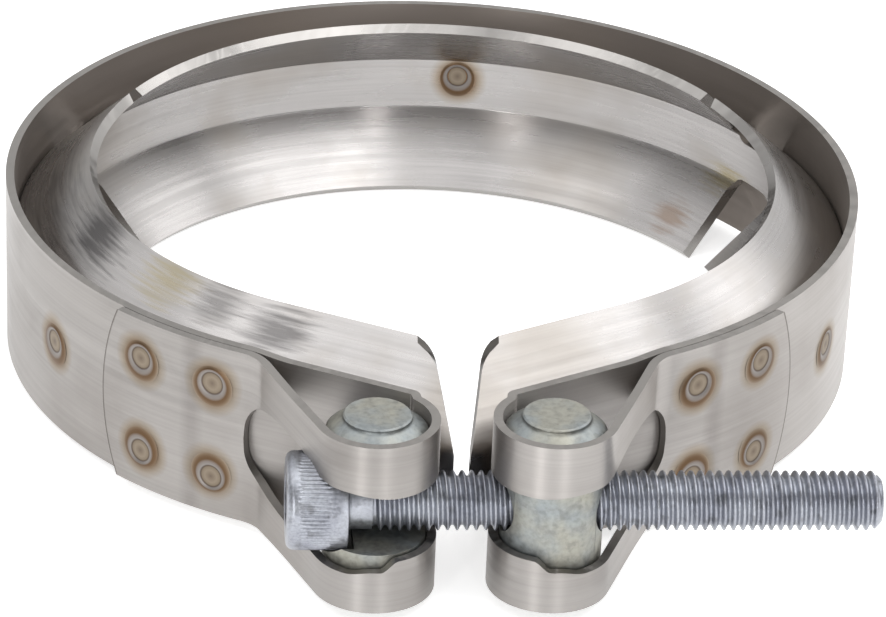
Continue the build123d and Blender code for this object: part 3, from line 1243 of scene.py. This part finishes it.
@dataclass
class ClampBolt:
    """The socket-head bolt: a knurled head, a short neck and a rolled thread."""

    plan: ClampPlan
    flat: float = 2.8
    seat_gap: float = 0.8
    diameter: float = 7.9
    pitch: float = 1.25
    thread_depth: float = 0.72
    thread_flank: float = 0.92
    length: float = 70.0
    neck_length: float = 2.9
    neck_radius: float = 3.75
    neck_overlap: float = 0.3
    tip_chamfer: float = 1.0
    head_radius: float = 6.5
    head_height: float = 8.0
    head_round: float = 1.1
    round_steps: int = 8
    ribs: int = 66
    rib_depth: float = 0.2
    rib_steps: int = 4
    rib_stations: tuple[Point, ...] = (
        (1.6, 0.0), (2.0, 1.0), (3.5, 1.0), (5.4, 1.0), (5.8, 0.0), (7.0, 0.0), (7.6, 0.0)
    )
    socket_flats: float = 6.0
    socket_depth: float = 4.5
    socket_lead: float = 1.0
    around: int = 72
    steps: int = 10
    edge: float = 0.12
    edge_angle: float = 50.0

    @property
    def seat(self) -> float:
        """X of the face under the head."""
        return -self.plan.pin_spacing / 2 - self.flat - self.seat_gap

    @property
    def axis_y(self) -> float:
        """Y of the bolt's axis."""
        return self.plan.pin_center[1]

    def thread_tree(self, material: Material) -> Ink:
        """Rule that winds a grid into a closed thread along +X.

        Args:
            material: The thread's material.

        Returns:
            The geometry tree's ink.
        """
        numbers = ("Start", "Length", "Pitch", "Radius", "Depth", "Tip", "Center Y")
        ink, given = start_tree("thread_rule", numbers)
        turns = math.ceil((self.length - self.neck_length) / self.pitch) + 1
        size = {"Size X": 1.0, "Size Y": 1.0}
        counts = {"Vertices X": turns * self.steps + 1, "Vertices Y": self.around + 1}
        grid = ink.add("GeometryNodeMeshGrid", {**size, **counts}).outputs["Mesh"]
        place = ink.split(ink.add("GeometryNodeInputPosition").outputs[0])
        share, turn = ink.plus(place["X"], 0.5), ink.plus(place["Y"], 0.5)
        run = ink.times(share, ink.times(given["Pitch"], float(turns)))
        wind = ink.times(ink.minus(turn, 1.0), given["Pitch"])
        along = ink.math("MAXIMUM", ink.plus(run, wind), 0.0)
        along = ink.math("MINIMUM", along, given["Length"])
        phase = ink.math("FRACT", ink.plus(ink.times(share, float(turns)), 0.0001))
        wave = ink.math("ABSOLUTE", ink.minus(ink.times(phase, 2.0), 1.0))
        feeds = {"Value": wave, "From Min": 0.0, "From Max": self.thread_flank}
        groove = ink.add("ShaderNodeMapRange", feeds, interpolation_type="SMOOTHERSTEP")
        radius = ink.minus(given["Radius"], ink.times(groove.outputs["Result"], given["Depth"]))
        least = ink.minus(given["Radius"], given["Tip"])
        radius = ink.math("MINIMUM", radius, ink.plus(least, ink.minus(given["Length"], along)))
        radius = ink.math("MINIMUM", radius, ink.plus(least, along))
        inner = ink.times(ink.math("GREATER_THAN", share, 0.0001), ink.math("LESS_THAN", share, 0.9999))
        radius = ink.times(radius, inner)
        angle = ink.times(turn, FULL_TURN)
        y = ink.plus(ink.times(radius, ink.math("COSINE", angle)), given["Center Y"])
        z = ink.times(radius, ink.math("SINE", angle))
        target = ink.join(X=ink.plus(along, given["Start"]), Y=y, Z=z)
        move = ink.add("GeometryNodeSetPosition", {"Geometry": grid, "Position": target})
        finish_tree(ink, move.outputs[0], material)
        return ink

    def ring_tree(self, material: Material) -> Ink:
        """Rule that repeats one rib of the head about the bolt's axis.

        Args:
            material: The head's material.

        Returns:
            The geometry tree's ink.
        """
        ink, given = start_tree("rib_ring", ("Count", "Center Y"))
        center = ink.join(Y=given["Center Y"])
        points = ink.add("GeometryNodePoints", {"Count": given["Count"], "Position": center}).outputs[0]
        index = ink.add("GeometryNodeInputIndex").outputs[0]
        angle = ink.join(X=ink.math("DIVIDE", ink.times(index, FULL_TURN), given["Count"]))
        turn = ink.add("FunctionNodeEulerToRotation", {0: angle}).outputs[0]
        feeds = {"Points": points, "Instance": given["Geometry"], "Rotation": turn}
        finish_tree(ink, ink.add("GeometryNodeInstanceOnPoints", feeds).outputs[0], material)
        return ink

    def head_profile(self) -> list[Triple]:
        """Head and neck outline from the head's end: X, radius and rib share."""
        end, seat, neck_end = self.seat - self.head_height, self.seat, self.seat + self.neck_length
        outline = [(end, 0.0, 0.0), (end, self.socket_flats / 2 * 1.3, 0.0)]
        for i in range(self.round_steps + 1):
            turn = math.pi / 2 * i / self.round_steps
            radius = self.head_radius - self.head_round * (1 - math.sin(turn))
            outline.append((end + self.head_round * (1 - math.cos(turn)), radius, 0.0))
        outline += [(end + along, self.head_radius, ribs) for along, ribs in self.rib_stations]
        return outline + [
            (seat - 0.1, self.head_radius - 0.06, 0.0),
            (seat, self.head_radius - 0.3, 0.0),
            (seat, self.neck_radius + 0.5, 0.0),
            (seat + 0.15, self.neck_radius + 0.12, 0.0),
            (seat + 0.5, self.neck_radius, 0.0),
            (neck_end + self.neck_overlap, self.neck_radius, 0.0),
            (neck_end + self.neck_overlap, 0.0, 0.0),
        ]

    def head(self, material: Material) -> Piece:
        """Make the head and neck from one repeated rib, then sink the hexagon socket.

        Args:
            material: The head's material.

        Returns:
            The head's object.
        """
        build = bmesh.new()
        rows = []
        for x, radius, ribs in self.head_profile():
            row = []
            for i in range(self.rib_steps + 1):
                turn = FULL_TURN / self.ribs * i / self.rib_steps
                drop = self.rib_depth * ribs * (1 - math.sin(math.pi * i / self.rib_steps))
                reach = max(0.0, radius - drop) * MM
                row.append(build.verts.new((x * MM, reach * math.cos(turn), reach * math.sin(turn))))
            rows.append(row)
        skin(build, rows, closed=False)
        head = make_object("bolt_head", build, material)
        values = {"Count": float(self.ribs), "Center Y": self.axis_y * MM}
        apply_tree(head, self.ring_tree(material), values)
        turn_out(head, slivers=True)
        self.sink_socket(head)
        head.data.shade_smooth()
        soften(head, self.edge, self.edge_angle)
        return head

    def sink_socket(self, head: Piece) -> None:
        """Cut the hexagon socket into the head."""
        build = bmesh.new()
        reach = self.socket_flats / math.sqrt(3)
        start = self.seat - self.head_height - self.socket_lead
        turns = [FULL_TURN * i / 6 for i in range(6)]
        corners = [(start, self.axis_y + reach * math.cos(turn), reach * math.sin(turn)) for turn in turns]
        add_bar(build, map(Vector, corners), Vector((self.socket_lead + self.socket_depth, 0, 0)))
        cut_away(head, build)

    def thread(self, material: Material) -> Piece:
        """Make the thread.

        Args:
            material: The thread's material.

        Returns:
            The thread's object.
        """
        thread = make_object("bolt_thread", bmesh.new(), material)
        values = {
            "Start": (self.seat + self.neck_length) * MM,
            "Length": (self.length - self.neck_length) * MM,
            "Pitch": self.pitch * MM,
            "Radius": self.diameter / 2 * MM,
            "Depth": self.thread_depth * MM,
            "Tip": self.tip_chamfer * MM,
            "Center Y": self.axis_y * MM,
        }
        apply_tree(thread, self.thread_tree(material), values)
        turn_out(thread, slivers=False)
        return thread


@dataclass
class WeldMarks:
    """Small craters left by the spot welds, each with a disc pushed to one side."""

    spots: tuple[Spot, ...]
    profile: tuple[Point, ...] = (
        (0.0, 0.05),
        (0.35, 0.045),
        (0.8, 0.08),
        (1.15, 0.07),
        (1.4, 0.02),
        (1.5, 0.005),
        (1.75, 0.08),
        (2.0, 0.17),
        (2.2, 0.19),
        (2.45, 0.13),
        (2.8, 0.04),
        (3.1, -0.03),
    )
    shift: float = 0.5
    shift_end: float = 1.6
    around: int = 44

    def build(self, material: Material) -> Piece:
        """Make one mark and copy it to each spot weld.

        Args:
            material: The marks' material.

        Returns:
            The marks' object.
        """
        build = bmesh.new()
        aims = build.verts.layers.float_vector.new("out")
        ups = build.verts.layers.float_vector.new("up")
        for place, out in self.spots:
            vert = build.verts.new(place)
            vert[aims] = out
            vert[ups] = (0.0, 0.0, math.copysign(1.0, place.z))
        marks = make_object("weld_marks", build, material)
        ink, given = start_tree("mark_copies", ("Size",))
        stamp = self.stamp(material)
        shape = ink.add("GeometryNodeObjectInfo", {"Object": stamp}).outputs["Geometry"]
        kind = "GeometryNodeInputNamedAttribute"
        readers = [ink.add(kind, {"Name": name}, data_type="FLOAT_VECTOR") for name in ("out", "up")]
        axes = {i: reader.outputs["Attribute"] for i, reader in enumerate(readers)}
        aim = ink.add("FunctionNodeAxesToRotation", axes, primary_axis="Z", secondary_axis="Y").outputs[0]
        points = ink.add("GeometryNodeMeshToPoints", {"Mesh": given["Geometry"]}).outputs[0]
        size = ink.join(X=given["Size"], Y=given["Size"], Z=given["Size"])
        feeds = {"Points": points, "Instance": shape, "Rotation": aim, "Scale": size}
        finish_tree(ink, ink.add("GeometryNodeInstanceOnPoints", feeds).outputs[0], material)
        apply_tree(marks, ink, {"Size": 1.0})
        bpy.data.objects.remove(stamp)
        return marks

    def stamp(self, material: Material) -> Piece:
        """Make one mark that faces +Z, its disc pushed towards +Y.

        Args:
            material: Its material.

        Returns:
            The mark's object.
        """
        build = bmesh.new()
        share = build.verts.layers.float.new("ring")
        rim = self.profile[-1][0]
        rows = []
        for radius, height in self.profile:
            push = self.shift * (1 - smooth_step(radius, self.shift_end, rim))
            row = []
            for i in range(self.around if radius else 1):
                turn = FULL_TURN * i / self.around
                place = Vector((radius * math.cos(turn), radius * math.sin(turn) + push, height))
                row.append(build.verts.new(place * MM))
                row[-1][share] = radius / rim
            rows.append(row)
        skin(build, rows[::-1])
        return make_object("mark_stamp", build, material)


@dataclass(frozen=True)
class PhotoCamera:
    """The viewpoint of the picture: a long lens above the opening, looking slightly down."""

    place: Triple = (-0.04501165, -0.55642897, 0.28219858)
    angles: Triple = (62.401824, -2.212924, -3.705976)
    lens: float = 175.3842010498047
    sensor: float = 36.0
    clip: Point = (0.01, 20.0)

    def build(self) -> None:
        """Make the camera and use it."""
        data = bpy.data.cameras.new("camera")
        data.sensor_width = self.sensor
        data.lens = self.lens
        data.clip_start, data.clip_end = self.clip
        camera = bpy.data.objects.new("camera", data)
        camera.location = self.place
        camera.rotation_euler = [math.radians(angle) for angle in self.angles]
        bpy.context.scene.collection.objects.link(camera)
        bpy.context.scene.camera = camera


@dataclass(frozen=True)
class SoftLight:
    """One large soft light that looks at the clamp."""

    name: str
    azimuth: float
    elevation: float
    distance: float
    width: float
    height: float
    brightness: float

    def build(self) -> None:
        """Make the light."""
        data = bpy.data.lights.new(self.name, "AREA")
        data.shape = "RECTANGLE"
        data.size = self.width
        data.size_y = self.height
        data.energy = self.brightness * math.pi * self.width * self.height
        light = bpy.data.objects.new(self.name, data)
        turn, rise = math.radians(self.azimuth), math.radians(self.elevation)
        away = Vector((math.cos(rise) * math.sin(turn), -math.cos(rise) * math.cos(turn), math.sin(rise)))
        light.location = away * self.distance
        light.rotation_euler = (-away).to_track_quat("-Z", "Y").to_euler()
        bpy.context.scene.collection.objects.link(light)


@dataclass
class Studio:
    """Pale floor, white background, soft lights and the camera."""

    floor_z: float
    floor_size: float = 6.0
    floor_color: Triple = (0.86, 0.86, 0.86)
    floor_lift: float = 0.66
    sky_low: float = 0.16
    sky_high: float = 0.45
    white: Triple = (1.0, 1.0, 1.0)
    lights: tuple[SoftLight, ...] = (
        SoftLight("key_light", 14.0, 74.0, 0.9, 0.5, 0.8, 1.2),
        SoftLight("upper_left_light", -73.0, 58.0, 0.9, 0.5, 0.5, 1.6),
        SoftLight("upper_right_light", 66.0, 60.0, 0.9, 0.5, 0.5, 2.5),
        SoftLight("right_light", 112.0, 38.0, 1.0, 0.5, 0.5, 1.6),
        SoftLight("left_light", -112.0, 38.0, 1.0, 0.5, 0.5, 0.7),
        SoftLight("left_strip", -26.0, 10.0, 0.8, 0.07, 0.45, 15.0),
        SoftLight("right_strip", 12.0, 10.0, 0.8, 0.05, 0.45, 13.0),
    )
    camera: PhotoCamera = PhotoCamera()

    def floor(self) -> None:
        """Make the floor just under the clamp's lowest point."""
        material, ink, shader = new_material("floor")
        ink.fill(shader, {"Base Color": self.floor_color, "Roughness": 0.9, "Specular IOR Level": 0.1})
        glow = ink.times(self.seen_rays(ink), self.floor_lift)
        ink.fill(shader, {"Emission Color": self.white, "Emission Strength": glow})
        build = bmesh.new()
        half = self.floor_size / 2
        corners = ((-half, -half), (half, -half), (half, half), (-half, half))
        build.faces.new([build.verts.new((x, y, self.floor_z)) for x, y in corners])
        floor = make_object("floor", build, material)
        floor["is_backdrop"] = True

    def seen_rays(self, ink: Ink) -> Socket:
        """Value that is 1 for camera, mirror and see-through rays.

        Args:
            ink: Where the nodes are added.

        Returns:
            The value.
        """
        rays = ink.add("ShaderNodeLightPath").outputs
        seen = ink.math("MAXIMUM", rays["Is Camera Ray"], rays["Is Glossy Ray"])
        return ink.math("MAXIMUM", seen, rays["Is Transmission Ray"])

    def sky(self) -> None:
        """Make a soft sky, and a white background behind the clamp for the camera and for the metal."""
        world = bpy.data.worlds.new("studio")
        world.use_nodes = True
        bpy.context.scene.world = world
        world.node_tree.nodes.clear()
        ink = Ink(world.node_tree)
        split = ink.split(ink.add("ShaderNodeTexCoord").outputs["Generated"])
        level = ink.times(ink.plus(split["Z"], 1.0), 0.5)
        soft = ink.ramp(level, (0.4, self.sky_low), (0.62, self.sky_high * 0.7), (0.9, self.sky_high))
        behind = ink.ramp(ink.plus(split["Y"], 0.5), (0.4, 0.0), (0.75, 1.0))
        side = ink.times(ink.plus(split["X"], 1.0), 0.5)
        across = ink.ramp(side, (0.0, 0.35), (0.35, 0.55), (0.52, 1.0))
        sheet = ink.times(ink.times(behind, across), self.seen_rays(ink))
        color = ink.blend(sheet, soft, self.white)
        glow = ink.add("ShaderNodeBackground", {"Color": color, "Strength": 1.0})
        ink.add("ShaderNodeOutputWorld", {"Surface": glow.outputs[0]})

    def build(self) -> None:
        """Make the whole studio."""
        bpy.context.scene.view_settings.view_transform = "Standard"
        self.floor()
        self.sky()
        for light in self.lights:
            light.build()
        self.camera.build()


def main() -> None:
    """Build the clamp's pieces in order, then the studio round them."""
    logging.basicConfig(level=logging.INFO, format="%(message)s")
    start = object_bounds()
    plan = ClampPlan()

    strap = Strap(plan)
    liner = Liner(plan)
    spots = strap.weld_spots() + [liner.weld_spot()]
    centers = tuple(place for place, _ in spots)
    steel, smudge = (0.405, 0.384, 0.368), (0.295, 0.262, 0.238)
    strap_steel = SheetSteel(
        "strap_steel",
        steel,
        smudge,
        0.36,
        smudge_share=0.24,
        # inside: painted shade and painted reflection for the faces turned towards the ring's axis
        inside=(0.30, 0.266, 0.24),
        cut_color=(0.30, 0.285, 0.27),
        welds=centers[:-1],
        # plate: painted shadow lines at the plates' ends and painted shade along their bends
        plate=strap.outline(),
    )
    strap_piece = strap.build(strap_steel)
    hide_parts("band")
    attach(strap_piece, "ring")
    LOG.info("strap: folded round both pins, with plates and slot")

    dark, yellow = (0.10, 0.095, 0.095), (0.35, 0.305, 0.20)
    liner_steel = SheetSteel(
        "liner_steel",
        (0.425, 0.41, 0.403),
        (0.34, 0.29, 0.23),
        0.22,
        smudge_share=0.35,
        welds=centers,
        streaks=0.08,
        stretch=0.6,
        cut_color=(0.40, 0.385, 0.37),
        color_patches=(
            ColorPatch((-52.0, -3.0, 8.0), (7.0, 17.0, 6.0), dark, 0.6),
            ColorPatch((-47.0, -19.0, 11.5), (6.0, 9.0, 5.0), dark, 0.85),
            ColorPatch((-37.0, -33.0, 12.0), (6.5, 6.0, 5.0), yellow, 0.75),
            ColorPatch((-31.0, -40.0, 12.0), (5.0, 4.5, 4.0), dark, 0.6),
            ColorPatch((-23.5, -46.0, 11.0), (6.5, 5.0, 4.0), dark, 0.75),
            ColorPatch((47.4, 32.6, -4.0), (6.0, 6.0, 2.5), yellow, 0.9),
            ColorPatch((39.2, 32.3, -10.0), (4.0, 4.0, 3.0), (0.24, 0.15, 0.09), 0.55),
        ),
    )
    liner_piece = liner.build(liner_steel)
    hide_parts("v_liner")
    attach(liner_piece, "ring")
    LOG.info("liner: web, two legs and two pairs of notches")

    mark_steel = SheetSteel("mark_steel", steel, smudge, 0.4, smudge_share=0.24, welds=centers, ringed=True)
    marks = WeldMarks(tuple(spots)).build(mark_steel.material())
    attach(marks, "ring")
    LOG.info("weld marks: %d", len(spots))

    zinc = Plating("zinc", (0.36, 0.355, 0.31), (0.30, 0.325, 0.33), 0.38, 0.85).material()
    for side, node in ((Side.LEFT, "left_pin"), (Side.RIGHT, "right_pin")):
        pin = CrossPin(plan, side).build(zinc)
        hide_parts(node)
        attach(pin, node + "_body")
        LOG.info("%s: turned, zinc plated", pin.name)

    bolt = ClampBolt(plan)
    flake = Plating("zinc_flake", (0.31, 0.322, 0.365), (0.41, 0.426, 0.465), 0.3, 0.9, 0.35, 0.5).material()
    for piece in (bolt.head(flake), bolt.thread(flake)):
        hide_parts("clamp_bolt")
        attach(piece, "bolt_body")
    LOG.info("bolt: knurled head with socket, neck and thread")

    Studio(floor_z=start[0].z).build()
    LOG.info("studio: floor, sky, lights and camera")


if __name__ == "__main__":
    main()
